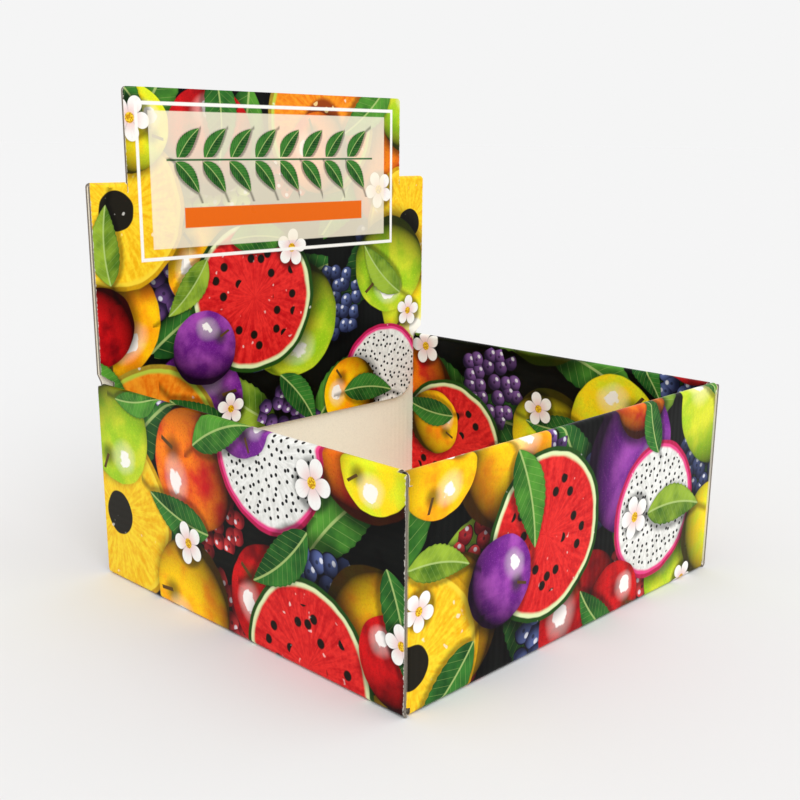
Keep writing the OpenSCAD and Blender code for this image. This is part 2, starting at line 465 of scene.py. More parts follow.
class Nodes:
    """Short calls that add nodes to one tree and link or set their inputs."""

    def __init__(self, tree):
        self.tree = tree

    def put(self, kind, values=(), **settings):
        """A node of that kind with its settings, and its inputs linked or set by name or place."""
        node = self.tree.nodes.new("ShaderNode" + kind)
        for key, value in settings.items():
            setattr(node, key, value)
        for key, value in dict(values).items():
            if isinstance(value, bpy.types.NodeSocket):
                self.tree.links.new(value, node.inputs[key])
            else:
                node.inputs[key].default_value = value
        return node

    def math(self, operation, *values):
        """Result of a Math node."""
        return self.put("Math", dict(enumerate(values)), operation=operation).outputs[0]

    def plus(self, a, b):
        """a plus b."""
        return self.math("ADD", a, b)

    def minus(self, a, b):
        """a less b."""
        return self.math("SUBTRACT", a, b)

    def times(self, a, b):
        """a times b."""
        return self.math("MULTIPLY", a, b)

    def between(self, value, low, high):
        """1 where value lies between low and high, and else 0."""
        return self.times(self.math("GREATER_THAN", value, low), self.math("LESS_THAN", value, high))

    def vector(self, operation, *values):
        """Result of a Vector Math node: a value for lengths and dots, and else a vector."""
        node = self.put("VectorMath", dict(enumerate(values)), operation=operation)
        return node.outputs[1 if operation in ("LENGTH", "DOT_PRODUCT", "DISTANCE") else 0]

    def scaled(self, vector, factor):
        """A vector times one factor."""
        return self.put("VectorMath", {0: vector, "Scale": factor}, operation="SCALE").outputs[0]

    def span(self, value, start, end, low, high):
        """low at start to high at end in a straight line."""
        return self.put("MapRange", {0: value, 1: start, 2: end, 3: low, 4: high}).outputs[0]

    def smooth(self, value, start, end, strength=1.0):
        """0 at start to strength at end with a smooth step."""
        return self.put("MapRange", {0: value, 1: start, 2: end, 4: strength},
                        interpolation_type="SMOOTHSTEP").outputs[0]

    def mix(self, share, a, b, blend="MIX"):
        """Colour a with colour b laid over it by share."""
        a, b = (value if isinstance(value, bpy.types.NodeSocket) else (*value[:3], 1) for value in (a, b))
        return self.put("Mix", {0: share, 6: a, 7: b}, data_type="RGBA", blend_type=blend).outputs[2]

    def lay(self, colour, tint, value, start, end, strength=1.0):
        """Colour with tint laid over it: nothing of it where value is start, and strength where it is end."""
        return self.mix(self.smooth(value, start, end, strength), colour, tint)

    def pick(self, variety, kinds, key):
        """What the table kinds gives under key for a variety: a colour or a value."""
        node = self.put("ValToRGB", {0: variety})
        node.color_ramp.interpolation = "CONSTANT"
        marks = node.color_ramp.elements
        while len(marks) < len(kinds["start"]):
            marks.new(1)
        for mark, place, entry in zip(marks, kinds["start"], kinds[key]):
            mark.position = place
            mark.color = (*np.broadcast_to(entry, 3), 1)
        return self.split(node.outputs[0])[0] if np.ndim(kinds[key]) == 1 else node.outputs[0]

    def noise(self, vector, scale, detail=2.0, distortion=0.0):
        """Noise value from 0 to 1."""
        return self.put("TexNoise", {"Vector": vector, "Scale": scale, "Detail": detail,
                                     "Distortion": distortion}).outputs[0]

    def swing(self, vector, scale, width):
        """Noise value about zero, width from its lowest to its highest."""
        return self.times(self.minus(self.noise(vector, scale), 0.5), width)

    def cells(self, vector, scale, randomness):
        """Outputs of a flat Voronoi texture."""
        return self.put("TexVoronoi", {"Vector": vector, "Scale": scale, "Randomness": randomness},
                        voronoi_dimensions="2D").outputs

    def use(self, tree, **values):
        """Outputs of a group node with its inputs linked or set."""
        return self.put("Group", values, node_tree=tree).outputs

    def attribute(self, name, output):
        """An attribute of the mesh."""
        return self.put("Attribute", attribute_name=name).outputs[output]

    def split(self, vector):
        """The three parts of a vector."""
        return self.put("SeparateXYZ", {0: vector}).outputs

    def join(self, x=0.0, y=0.0, z=0.0):
        """A vector from its parts."""
        return self.put("CombineXYZ", {0: x, 1: y, 2: z}).outputs[0]


def group(name, inputs, outputs, draw):
    """A shader node group with named sockets. draw gets the node helper and the inputs, and returns
    the outputs in order."""
    tree = bpy.data.node_groups.new(name, "ShaderNodeTree")
    for in_out, names in (("INPUT", inputs), ("OUTPUT", outputs)):
        for label, socket in names.items():
            tree.interface.new_socket(label, in_out=in_out, socket_type="NodeSocket" + socket)
    nodes = Nodes(tree)
    start, end = tree.nodes.new("NodeGroupInput"), tree.nodes.new("NodeGroupOutput")
    for result, socket in zip(draw(nodes, *start.outputs[:len(inputs)]), end.inputs):
        tree.links.new(result, socket)
    return tree


# Drawings of the print. Each takes a place in its shape, in radii, and the colour below it

# Directions of the light that the shapes are drawn in, and of its reflection
LIGHT = (-0.40, 0.56, 0.73)
GLINT = (-0.32, 0.46, 0.83)
BLACK = (0.0, 0.0, 0.0)
WARM_WHITE = (1.0, 0.97, 0.90)
# Noise of two varieties comes from places this far apart
VARIETY_SPREAD, BUNCH_SPREAD = 30.0, 40.0

# Kinds of each shape: where each starts among the varieties, and its colours
ROUND_KINDS = {
    "start": (0, 0.2, 0.38, 0.5, 0.62, 0.8),
    "skin": ((0.95, 0.58, 0.004), (0.60, 0.006, 0.008), (0.95, 0.66, 0.008),
             (0.14, 0.012, 0.22), (0.30, 0.54, 0.012), (0.92, 0.22, 0.006)),
    "blush": ((0.90, 0.26, 0.004), (0.16, 0.001, 0.004), (0.66, 0.76, 0.02),
              (0.36, 0.07, 0.42), (0.66, 0.68, 0.03), (0.62, 0.010, 0.010)),
}
WHEEL_KINDS = {
    "start": (0, 0.25, 0.5, 0.75),
    "rind": ((0.80, 0.42, 0.004), (0.010, 0.075, 0.008), (0.50, 0.34, 0.03), (0.62, 0.004, 0.10)),
    "pith": ((0.92, 0.66, 0.04), (0.74, 0.84, 0.46), (0.50, 0.62, 0.06), (0.80, 0.06, 0.24)),
    "deep": ((0.86, 0.42, 0.002), (0.52, 0.004, 0.008), (0.82, 0.17, 0.004), (0.66, 0.66, 0.62)),
    "pale": ((0.97, 0.72, 0.03), (0.84, 0.03, 0.025), (0.96, 0.36, 0.02), (0.92, 0.92, 0.88)),
    "seed": ((0.01, 0.006, 0.004), (0.01, 0.006, 0.004), (0.86, 0.62, 0.26), (0.006, 0.006, 0.008)),
    # Tens of seeds in one radius, and the ring that they lie in
    "seed_tens": (0.0, 0.36, 0.5, 0.85),
    "seeds_from": (1.0, 0.30, 0.05, 0.0),
    "seeds_to": (0.0, 0.70, 0.30, 0.84),
}
# The first kind of wheel has a core hole, and the third a seed hollow
CORE_END = WHEEL_KINDS["start"][1]
HOLLOW_RANGE = WHEEL_KINDS["start"][2:4]
BUNCH_KINDS = {
    "start": (0, 0.45, 0.62, 0.85),
    "skin": ((0.012, 0.016, 0.050), (0.16, 0.004, 0.010), (0.020, 0.010, 0.040), (0.20, 0.34, 0.03)),
    "bloom": ((0.10, 0.14, 0.34), (0.72, 0.05, 0.05), (0.22, 0.10, 0.34), (0.62, 0.74, 0.22)),
}
# Berries in one radius of a bunch, a berry's radius in cells, and the bunch's radius in cells
BUNCH_SCALE, BERRY_RADIUS, BUNCH_RADIUS = 3.1, 0.62, 2.75
LEAF_KINDS = {
    "start": (0, 0.5, 0.75),
    "deep": ((0.006, 0.050, 0.010), (0.012, 0.085, 0.012), (0.05, 0.14, 0.01)),
    "pale": ((0.045, 0.22, 0.030), (0.10, 0.34, 0.035), (0.34, 0.50, 0.04)),
}


def shadowed(nodes, below, local, edge, strength):
    """Colour below, darkened by the soft shadow that a shape throws down and to the right."""
    x, y, _ = nodes.split(nodes.vector("ADD", local, (-0.05, 0.08, 0)))
    far = nodes.vector("LENGTH", nodes.join(x, y))
    return nodes.lay(below, BLACK, far, edge + 0.2, edge - 0.12, strength)


def ball_normal(nodes, x, y, reach):
    """Normal of a ball seen from the front: height is the root of one less the squared reach."""
    rest = nodes.minus(1.0, nodes.times(reach, reach))
    return nodes.join(x, y, nodes.math("SQRT", nodes.math("MAXIMUM", rest, 0.0)))


def draw_round(nodes, local, below):
    """Smooth round fruit: a lit ball with a blush, fine pores, a stalk in its dimple and two lights."""
    x, y, variety = nodes.split(local)
    place = nodes.join(x, y)
    flat = nodes.join(x, y, nodes.times(variety, VARIETY_SPREAD))
    reach = nodes.plus(nodes.vector("LENGTH", place), nodes.swing(flat, 1.1, 0.16))
    normal = ball_normal(nodes, x, y, reach)
    skin, blush = (nodes.pick(variety, ROUND_KINDS, key) for key in ("skin", "blush"))
    colour = nodes.lay(skin, blush, nodes.noise(flat, 1.6, 3), 0.38, 0.72)
    streak = nodes.noise(nodes.vector("MULTIPLY", flat, (9.0, 1.6, 1.0)), 1.0, 3)
    colour = nodes.lay(colour, blush, streak, 0.55, 0.8, 0.35)
    pores = nodes.cells(place, 13.0, 1.0)["Distance"]
    colour = nodes.lay(colour, blush, pores, 0.17, 0.05, 0.5)
    lit = nodes.vector("DOT_PRODUCT", normal, LIGHT)
    speck = nodes.plus(nodes.times(nodes.noise(flat, 30), 0.36), 0.82)
    level = nodes.times(nodes.span(lit, -0.15, 0.74, 0.04, 1.1), speck)
    colour = nodes.mix(1.0, colour, nodes.join(level, level, level), "MULTIPLY")
    dimple = nodes.vector("DISTANCE", place, (0.14, 0.55, 0.0))
    colour = nodes.lay(colour, (0.03, 0.035, 0.004), dimple, 0.30, 0.05, 0.7)
    aside = nodes.math("ABSOLUTE", nodes.minus(x, nodes.times(y, 0.25)))
    stalk = nodes.times(nodes.smooth(aside, 0.045, 0.025), nodes.between(y, 0.55, 0.86))
    colour = nodes.mix(stalk, colour, (0.10, 0.05, 0.012))
    shine = nodes.vector("DOT_PRODUCT", normal, GLINT)
    colour = nodes.lay(colour, WARM_WHITE, shine, 0.90, 1.0, 0.28)
    broken = nodes.plus(shine, nodes.swing(flat, 7, 0.035))
    colour = nodes.lay(colour, (1.0, 0.98, 0.94), broken, 0.983, 0.990, 0.9)
    under = shadowed(nodes, below, local, 1.02, 0.75)
    return [nodes.lay(under, colour, reach, 1.0, 0.975)]


def draw_wheel(nodes, local, below):
    """Cut fruit round: rind, thin pith and fibrous flesh, with a core hole and seeds by its variety."""
    x, y, variety = nodes.split(local)
    place = nodes.join(x, y)
    flat = nodes.join(x, y, nodes.times(variety, VARIETY_SPREAD))
    far = nodes.vector("LENGTH", place)
    reach = nodes.plus(far, nodes.swing(flat, 2.0, 0.09))
    spoke_x, spoke_y, _ = nodes.split(nodes.vector("NORMALIZE", place))
    rind, pith, deep, pale, stone, seed_tens, seeds_from, seeds_to = (
        nodes.pick(variety, WHEEL_KINDS, key) for key in WHEEL_KINDS if key != "start")
    along = nodes.join(nodes.times(spoke_x, 9.0), nodes.times(spoke_y, 9.0), nodes.times(reach, 3.0))
    fine = nodes.noise(flat, 20, 3)
    grain = nodes.plus(nodes.noise(along, 1.4, 3), nodes.times(fine, 0.6))
    flesh = nodes.lay(deep, pale, grain, 0.5, 1.1)
    flesh = nodes.lay(flesh, pale, reach, 0.55, 0.05, 0.30)
    hollow = nodes.times(nodes.smooth(reach, 0.36, 0.28), nodes.between(variety, *HOLLOW_RANGE))
    flesh = nodes.mix(hollow, flesh, (0.30, 0.05, 0.004))
    apart = nodes.cells(place, nodes.times(seed_tens, 10.0), 0.7)["Distance"]
    seed = nodes.times(nodes.smooth(apart, 0.24, 0.17), nodes.between(far, seeds_from, seeds_to))
    flesh = nodes.mix(seed, flesh, stone)
    colour = nodes.lay(flesh, pith, reach, 0.86, 0.905)
    core = nodes.times(nodes.math("LESS_THAN", variety, CORE_END), nodes.smooth(reach, 0.25, 0.235))
    colour = nodes.mix(core, colour, (0.012, 0.010, 0.006))
    skin = nodes.mix(nodes.times(fine, 0.5), rind, (0.03, 0.03, 0.004))
    colour = nodes.lay(colour, skin, reach, 0.925, 0.945)
    colour = nodes.lay(colour, WARM_WHITE, nodes.noise(flat, 9, 1), 0.72, 0.79, 0.5)
    under = shadowed(nodes, below, local, 1.0, 0.8)
    return [nodes.lay(under, colour, reach, 1.0, 0.982)]


def draw_bunch(nodes, local, below):
    """Bunch of small berries: each Voronoi cell is a lit ball with a pale bloom and a small glint."""
    x, y, variety = nodes.split(local)
    middle = nodes.join(nodes.times(variety, BUNCH_SPREAD), 3.0)
    moved = nodes.vector("ADD", nodes.scaled(nodes.join(x, y), BUNCH_SCALE), middle)
    cells = nodes.cells(moved, 1.0, 0.55)
    ball = nodes.scaled(nodes.vector("SUBTRACT", moved, cells["Position"]), 1 / BERRY_RADIUS)
    ball_x, ball_y, _ = nodes.split(ball)
    reach = nodes.vector("LENGTH", nodes.join(ball_x, ball_y))
    normal = ball_normal(nodes, ball_x, ball_y, reach)
    skin, bloom = (nodes.pick(variety, BUNCH_KINDS, key) for key in ("skin", "bloom"))
    tint = nodes.split(cells["Color"])[0]
    lit = nodes.smooth(nodes.vector("DOT_PRODUCT", normal, LIGHT), 0.1, 1.1)
    colour = nodes.mix(nodes.times(lit, nodes.plus(0.45, nodes.times(tint, 0.6))), skin, bloom)
    colour = nodes.lay(colour, (0.006, 0.006, 0.012), reach, 0.22, 0.12, 0.7)
    shine = nodes.vector("DOT_PRODUCT", normal, GLINT)
    colour = nodes.lay(colour, (0.92, 0.94, 1.0), shine, 0.955, 0.99, 0.75)
    colour = nodes.lay(colour, (0.003, 0.003, 0.005), reach, 0.86, 1.0)
    home = nodes.vector("DISTANCE", cells["Position"], middle)
    seen = nodes.times(nodes.math("LESS_THAN", home, BUNCH_RADIUS), nodes.smooth(reach, 1.08, 1.0))
    return [nodes.mix(seen, shadowed(nodes, below, local, 0.98, 0.7), colour)]


def draw_leaf(nodes, local, below):
    """Pointed leaf along its own axis: half width is a bowed curve of the length, with a mid rib,
    slanting side veins and one half lighter than the other."""
    x, y, variety = nodes.split(local)
    flat = nodes.join(x, y, nodes.times(variety, VARIETY_SPREAD))
    square = nodes.times(x, x)
    rest = nodes.math("MAXIMUM", nodes.minus(1.0, square), 0.0)
    bow = nodes.times(nodes.math("POWER", rest, 0.8), nodes.minus(0.40, nodes.times(x, 0.13)))
    bend = nodes.plus(y, nodes.times(nodes.minus(square, 0.4), 0.12))
    far = nodes.math("ABSOLUTE", bend)
    slant = nodes.minus(x, nodes.times(far, 0.8))
    tooth = nodes.math("PINGPONG", nodes.times(slant, 6.0), 0.5)
    bow = nodes.plus(bow, nodes.times(nodes.times(tooth, rest), 0.05))
    inward = nodes.minus(bow, far)
    deep, pale = (nodes.pick(variety, LEAF_KINDS, key) for key in ("deep", "pale"))
    half = nodes.times(nodes.math("GREATER_THAN", bend, 0.0), 0.22)
    level = nodes.plus(nodes.noise(flat, 2.2, 3), half)
    colour = nodes.lay(deep, pale, level, 0.25, 0.95)
    colour = nodes.lay(colour, (0.36, 0.52, 0.14), tooth, 0.055, 0.01, 0.35)
    colour = nodes.lay(colour, (0.46, 0.60, 0.20), far, 0.030, 0.012, 0.75)
    colour = nodes.lay(colour, (0.004, 0.03, 0.006), inward, 0.05, 0.015, 0.30)
    lower = nodes.math("ABSOLUTE", nodes.plus(bend, 0.05))
    shade = nodes.smooth(nodes.minus(nodes.plus(bow, 0.02), lower), -0.12, 0.02, 0.6)
    return [nodes.lay(nodes.mix(shade, below, BLACK), colour, inward, 0.0, 0.015)]


def draw_blossom(nodes, local, below):
    """Five-petal white blossom: its edge swells and dips with the angle, round a yellow heart."""
    x, y, variety = nodes.split(local)
    reach = nodes.vector("LENGTH", nodes.join(x, y))
    angle = nodes.math("ARCTAN2", y, x)
    swell = nodes.math("ABSOLUTE", nodes.math("COSINE", nodes.times(angle, 2.5)))
    edge = nodes.plus(0.42, nodes.times(nodes.math("POWER", swell, 0.55), 0.52))
    streak = nodes.noise(nodes.join(nodes.times(angle, 8.0), reach, variety), 1.6)
    petal = nodes.lay((0.93, 0.92, 0.88), (0.86, 0.62, 0.60), reach, 0.75, 0.15)
    petal = nodes.lay(petal, (0.62, 0.55, 0.55), streak, 0.5, 0.8, 0.25)
    petal = nodes.lay(petal, (0.45, 0.42, 0.42), swell, 0.35, 0.0, 0.5)
    grain = nodes.smooth(nodes.noise(local, 14, 1), 0.45, 0.6)
    heart = nodes.mix(grain, (0.55, 0.25, 0.005), (0.95, 0.66, 0.03))
    colour = nodes.lay(petal, heart, reach, 0.24, 0.19)
    under = shadowed(nodes, below, local, 0.9, 0.7)
    return [nodes.lay(under, colour, nodes.minus(edge, reach), 0.0, 0.04)]


LAYER_DRAWINGS = {"leaf_low": "Leaf", "bunch": "Bunch", "round_low": "Round fruit", "wheel": "Fruit wheel",
                  "round_high": "Round fruit", "leaf_high": "Leaf", "blossom": "Blossom"}


def print_groups():
    """The print's shared node groups by name."""
    drawings = {"Leaf": draw_leaf, "Bunch": draw_bunch, "Round fruit": draw_round, "Fruit wheel": draw_wheel,
                "Blossom": draw_blossom}
    return {name: group(name, {"Local": "Vector", "Below": "Color"}, {"Color": "Color"}, drawing)
            for name, drawing in drawings.items()}


def draw_board_finish(nodes, worn_and_sheen):
    """Worn shares at folds and edges, with a painted sheen on the folds, broken up by noise, the height of
    the faint flutes, and a mottle.
    """
    place = nodes.put("TexCoord").outputs["Object"]
    across, wear = (nodes.attribute(name, "Fac") for name in ("across", "wear"))
    chips = nodes.times(nodes.noise(place, 900, 3), 0.6)
    ragged = nodes.plus(nodes.times(nodes.math("POWER", wear, 3.0), 0.5), chips)
    mask = nodes.times(nodes.smooth(ragged, 0.66, 0.86), worn_and_sheen)
    flute = nodes.math("SINE", nodes.times(across, 2 * math.pi / sizes().flute_pitch))
    skin = nodes.noise(place, 260, 3)
    height = nodes.plus(nodes.times(flute, 0.25), nodes.times(skin, 0.35))
    return [mask, height, nodes.noise(place, 60, 3)]


# Materials of the board

# Height of the bump in metres
BUMP_HEIGHT = 0.0004
# Specular level of the gloss print, and the lowest roughness of the print and of the paper
PRINT_SPECULAR, PRINT_ROUGHNESS, PAPER_ROUGHNESS = 0.07, 0.24, 0.72
# Most that the print and the paper show of their worn share, which on the print's folds is partly a painted
# sheen
PRINT_WORN_AND_SHEEN, PAPER_WORN = 0.8, 0.4
GROUND_MOTTLE = (0.006, 0.007, 0.006)
WHITE_FACE = (0.84, 0.83, 0.80)
# Tone of the darker fibres against the paper's own
FIBRE_TONE = 0.72


def surface(name):
    """A new material with its node helper and its Principled shader."""
    material = bpy.data.materials.new(name)
    material.use_nodes = True
    nodes = Nodes(material.node_tree)
    return material, nodes, material.node_tree.nodes["Principled BSDF"]


def finish_surface(nodes, shader, colour, rough, height, strength):
    """Links a surface's colour, roughness and bump height to its shader."""
    bump = nodes.put("Bump", {"Height": height, "Strength": strength, "Distance": BUMP_HEIGHT})
    nodes.tree.links.new(colour, shader.inputs["Base Color"])
    nodes.tree.links.new(rough, shader.inputs["Roughness"])
    nodes.tree.links.new(bump.outputs[0], shader.inputs["Normal"])


def box_mask(nodes, u, v, left, right, low, high, soft=0.25):
    """1 inside an upright box on the flat print, in millimetres, with soft edges."""
    inside_u = nodes.math("MINIMUM", nodes.minus(u, left), nodes.minus(right, u))
    inside_v = nodes.math("MINIMUM", nodes.minus(v, low), nodes.minus(high, v))
    return nodes.smooth(nodes.math("MINIMUM", inside_u, inside_v), -soft, soft)


# Label on the header: left, right, lower and upper edges of its boxes on the flat print
LABEL_PANEL = (-70.5, 70.5, 143.0, 201.5)
LABEL_FRAME = (-77.0, 76.5, 138.0, 205.3)
LABEL_BAR = (-53.5, 54.5, 151.5, 160.4)
LABEL_STALK = (-62.0, 62.0, 180.6, 181.4)
FRAME_LINE = 1.5
# Share of the pale panel over the print below it
PANEL_SHARE = 0.70
# Sprig: how many leaves a row has, their radius, step, rise from the stalk, turn and variety
SPRIG_COUNT, SPRIG_LEAF, SPRIG_STEP, SPRIG_RISE, SPRIG_TURN, SPRIG_VARIETY = 8, 9.0, 14.5, 7.2, 0.85, 0.1


def sprig_layout():
    """Two rows of small leaves that slant from a level stalk, in the label's upper half."""
    middle = (LABEL_STALK[2] + LABEL_STALK[3]) / 2
    return np.array([(SPRIG_STEP * (place - SPRIG_COUNT / 2 + 0.5), middle + side * SPRIG_RISE, SPRIG_LEAF,
                      side * SPRIG_TURN, SPRIG_VARIETY) for side in (-1, 1) for place in range(SPRIG_COUNT)])


def add_label(nodes, colour, leaf):
    """Label over the header's print: a thin frame line, a clouded pale panel, a leaf sprig and a bar."""
    colours = bpy.context.scene.box_colours
    u, v, _ = nodes.split(nodes.scaled(nodes.put("UVMap", uv_map="Blank").outputs[0], 1 / MM))
    left, right, low, high = LABEL_FRAME
    outer = box_mask(nodes, u, v, left, right, low, high)
    inner = box_mask(nodes, u, v, left + FRAME_LINE, right - FRAME_LINE, low + FRAME_LINE, high - FRAME_LINE)
    colour = nodes.mix(nodes.minus(outer, inner), colour, colours.frame_line)
    colour = nodes.mix(nodes.times(box_mask(nodes, u, v, *LABEL_PANEL), PANEL_SHARE), colour, colours.panel)
    colour = nodes.mix(box_mask(nodes, u, v, *LABEL_BAR), colour, colours.bar)
    colour = nodes.mix(box_mask(nodes, u, v, *LABEL_STALK), colour, colours.sprig)
    return nodes.use(leaf, Local=nodes.attribute("sprig", "Vector"), Below=colour)[0]


def board_materials():
    """Materials of the board: plain print, header print with its label, bare face, raw edge, white face."""
    colours = bpy.context.scene.box_colours
    groups = print_groups()
    finish = group("Board finish", {"Worn": "Float"}, {"Mask": "Float", "Height": "Float", "Mottle": "Float"},
                   draw_board_finish)
    made = {}
    for name, labelled in (("Printed board", False), ("Printed header", True)):
        made[name], nodes, shader = surface(name)
        worn_and_sheen, height, mottle = nodes.use(finish, Worn=PRINT_WORN_AND_SHEEN)
        colour = nodes.mix(nodes.times(mottle, 0.5), colours.ground, GROUND_MOTTLE)
        for layer, drawing in LAYER_DRAWINGS.items():
            colour = nodes.use(groups[drawing], Local=nodes.attribute(layer, "Vector"), Below=colour)[0]
        if labelled:
            colour = add_label(nodes, colour, groups["Leaf"])
        # Pale worn paper at cut edges, and a painted sheen on the fold crests
        colour = nodes.mix(worn_and_sheen, colour, colours.worn_and_sheen)
        rough = nodes.plus(nodes.times(worn_and_sheen, 0.4), nodes.times(mottle, 0.12))
        shader.inputs["Specular IOR Level"].default_value = PRINT_SPECULAR
        finish_surface(nodes, shader, colour, nodes.plus(PRINT_ROUGHNESS, rough), height, 0.12)
    plain = (("Bare board", colours.bare_board, 0.10), ("Raw edge", colours.raw_edge, 0.35),
             ("White face", WHITE_FACE, 0.05))
    for name, tint, depth in plain:
        made[name], nodes, shader = surface(name)
        _, height, mottle = nodes.use(finish, Worn=PAPER_WORN)
        fibres = nodes.noise(nodes.put("TexCoord").outputs["Object"], 1400, 4, 0.4)
        darker = [channel * FIBRE_TONE for channel in tint]
        colour = nodes.lay(tint, darker, fibres, 0.4, 0.75, depth * 2.2)
        colour = nodes.mix(nodes.times(mottle, depth), colour, darker)
        rough = nodes.plus(PAPER_ROUGHNESS, nodes.times(fibres, 0.2))
        finish_surface(nodes, shader, colour, rough, nodes.plus(height, nodes.times(fibres, 0.3)), 0.2)
    return made


SHARED = {}


def shared(key, make):
    """A value made once and kept for the operators that follow."""
    if key not in SHARED:
        SHARED[key] = make()
    return SHARED[key]


def board_slots(print_name):
    """Material slots of a board mesh in the order of PRINT, BARE, EDGE and PLAIN."""
    made = shared("materials", board_materials)
    return [made[print_name], made["Bare board"], made["Raw edge"], made["White face"]]


def put_on(piece, body, node):
    """Rides a piece on its body, in place of its CAD node."""
    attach(piece, body)
    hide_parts(node)


# Folding, in millimetres unless it says another unit

# The lock tabs stop this far short of the floor's underside
TONGUE_SHORT = 0.1
# Rows of the side walls' rolls that run on past the corners
ROLL_ROWS = 3
# Points this near to a fold or a band count as on it, in millimetres and in shares of a half width
NEAR, SHARE_NEAR = 0.1, 0.001
# The flat floor's cells are this many times larger
FLOOR_CELLS = 2
# Rows of points in the fold over the shoulders, the tuck's corners, the tab's corners and the crease bands
ROLL_POINTS, TUCK_POINTS, TIP_POINTS, LID_CREASE_POINTS, SHOULDER_CREASE_POINTS = 13, 11, 6, 9, 7
# How round the shoulder fold's outer ends are, and the share beside the tab that stays straight
END_ROUND, STRAIGHT_SHARE = 0.9, 0.03


def lock_ends(size, half):
    """Both ends of a side's two lock tabs or slots, each half long either way from its middle."""
    return [sign * size.lock_pitch / 2 + end * half for sign in (-1, 1) for end in (-1, 1)]


def leaf_half(size, foot_half, z):
    """Half width of a leaf at height z: the lower corners slope from foot_half out to the full width."""
    share = (z - size.tray_h - size.crease / 2) / size.leaf_slope
    return foot_half + (size.half_w - foot_half) * np.clip(share, 0, 1)


def drawn_in(radius, past):
    """How far a round corner draws in, that far past the start of its round."""
    return radius * (1 - np.sqrt(1 - np.clip(past / radius, 0, 1) ** 2))


class DISPLAY_BOX_OT_tray(bpy.types.Operator):
    """Folds the tray: floor, rolled side and front walls, back wall and corner flaps"""

    bl_idname = "display_box.tray"
    bl_label = "Fold tray"

    def execute(self, context):
        size = sizes()
        mesh = SheetMesh()
        outer_run = size.tray_h - size.fold_out - size.roll_out
        inner_run = size.tray_h - size.roll_out - size.thickness - size.layer_gap
        up = (0, math.pi / 2, size.fold_radius)
        roll_radius = size.roll_out - size.thickness
        self.add_sides(mesh, size, up, outer_run, inner_run, roll_radius)
        reach, fold = size.wall_half, size.to_corner_fold
        ear = size.flap_top + size.layer_gap
        crease = size.tray_h - size.crease_band

        def end_cells(z, along, row, ends):
            return (np.abs(along) < fold) | (z > ear)

        def beside_flaps(z, along):
            return (np.abs(along) < fold + NEAR) & (z < ear)

        along = samples([-reach, -fold, fold, reach], size.cell)
        lower = ear - size.fold_out
        roll_z = size.tray_h - size.roll_out
        steps = [up, (lower, 0, 0), (outer_run - lower, math.pi, roll_radius), (roll_z - ear, 0, 0),
                 (inner_run - roll_z + ear, 0, 0)]
        add_wall(mesh, -90, size.half_d, steps, along, end_cells, "front", 1, beside_flaps)
        steps = [up, (lower, 0, 0), (crease - ear, 0, 0)]
        add_wall(mesh, 90, size.half_d, steps, along, end_cells, "back", 1,
                 lambda z, along: beside_flaps(z, along) | (z > crease - NEAR))
        self.add_flaps(mesh, size)
        self.add_floor(mesh, size)
        for side in (-1, 1):
            for end in (-1, 1):
                foot = (side * size.half_w, end * size.half_d, size.fold_out)
                add_flutes(mesh, foot, (0, 0, 1), (0, -end, 0), (-side, 0, 0), outer_run)
        piece = mesh.make("tray_board", "Printed board")
        put_on(piece, "tray", "tray")
        return {"FINISHED"}

    def add_sides(self, mesh, size, up, outer_run, inner_run, roll_radius):
        """Rolled side walls. Their rolls and inner panels stop behind the front and back walls."""
        half_d = size.half_d
        front_cut = half_d - size.wall - size.layer_gap
        back_cut = half_d - size.thickness - size.layer_gap
        tongue = size.thickness + size.layer_gap - TONGUE_SHORT
        steps = [up, (outer_run, 0, 0), (0, math.pi, roll_radius), (inner_run, 0, 0), (tongue, 0, 0)]
        sides = ((0, "right", -front_cut, back_cut), (180, "left", -back_cut, front_cut))
        for heading, strip, low, high in sides:

            def side_cells(z, along, row, ends):
                lock = np.abs(np.abs(along) - size.lock_pitch / 2) < size.lock_width / 2
                inside = (along > low) & (along < high)
                return (row < ends[1] + ROLL_ROWS) | ((row < ends[3]) & inside) | ((row >= ends[3]) & lock)

            along = samples([-half_d, low, *lock_ends(size, size.lock_width / 2), high, half_d], size.cell)
            add_wall(mesh, heading, size.half_w, steps, along, side_cells, strip, 0)

    def add_flaps(self, mesh, size):
        """Corner flaps: a square fold off the wall's end, then a flat panel inside the side wall."""
        steps = [(0, math.pi / 2, size.fold_radius), (size.flap_length, 0, 0)]
        points, normals, travel, _ = section(steps, size.thickness, size.cell)
        z = samples([size.flap_bottom, size.flap_top], size.cell)
        x, y = size.to_corner_fold + points[:, :1], points[:, 1:] - size.half_d
        u = size.to_corner_fold + travel[:, None]
        for across in (-1, 1):
            for strip, along in (("front", 1), ("back", -1)):
                face = spread(across * x, along * y, z)
                normal = spread(across * normals[:, :1], along * normals[:, 1:], 0.0)
                flat = spread(across * along * u, z + size.fold_slack)
                mesh.add(face, normal, flat, strip, across * u, whole=True)

    def add_floor(self, mesh, size):
        """Floor panel with its four lock slots, white underneath and bare inside."""
        reach_x, reach_y = size.half_w - size.fold_out, size.half_d - size.fold_out
        slot_in = size.half_w - size.wall - size.lock_clear
        slot_out = slot_in + size.thickness + 2 * size.lock_clear
        half_slot = size.lock_width / 2 + size.lock_clear
        cell = FLOOR_CELLS * size.cell
        x = samples([-reach_x, -slot_out, -slot_in, slot_in, slot_out, reach_x], cell)[:, None]
        y = samples([-reach_y, *lock_ends(size, half_slot), reach_y], cell)
        face = spread(x, y, 0.0)
        beside, ahead = np.abs(middles(x)), np.abs(middles(y))
        slot = (beside > slot_in) & (beside < slot_out) & (np.abs(ahead - size.lock_pitch / 2) < half_slot)
        mesh.add(face, (0, 0, 1), face[..., :2], None, x, ~slot, slots=(PLAIN, BARE))


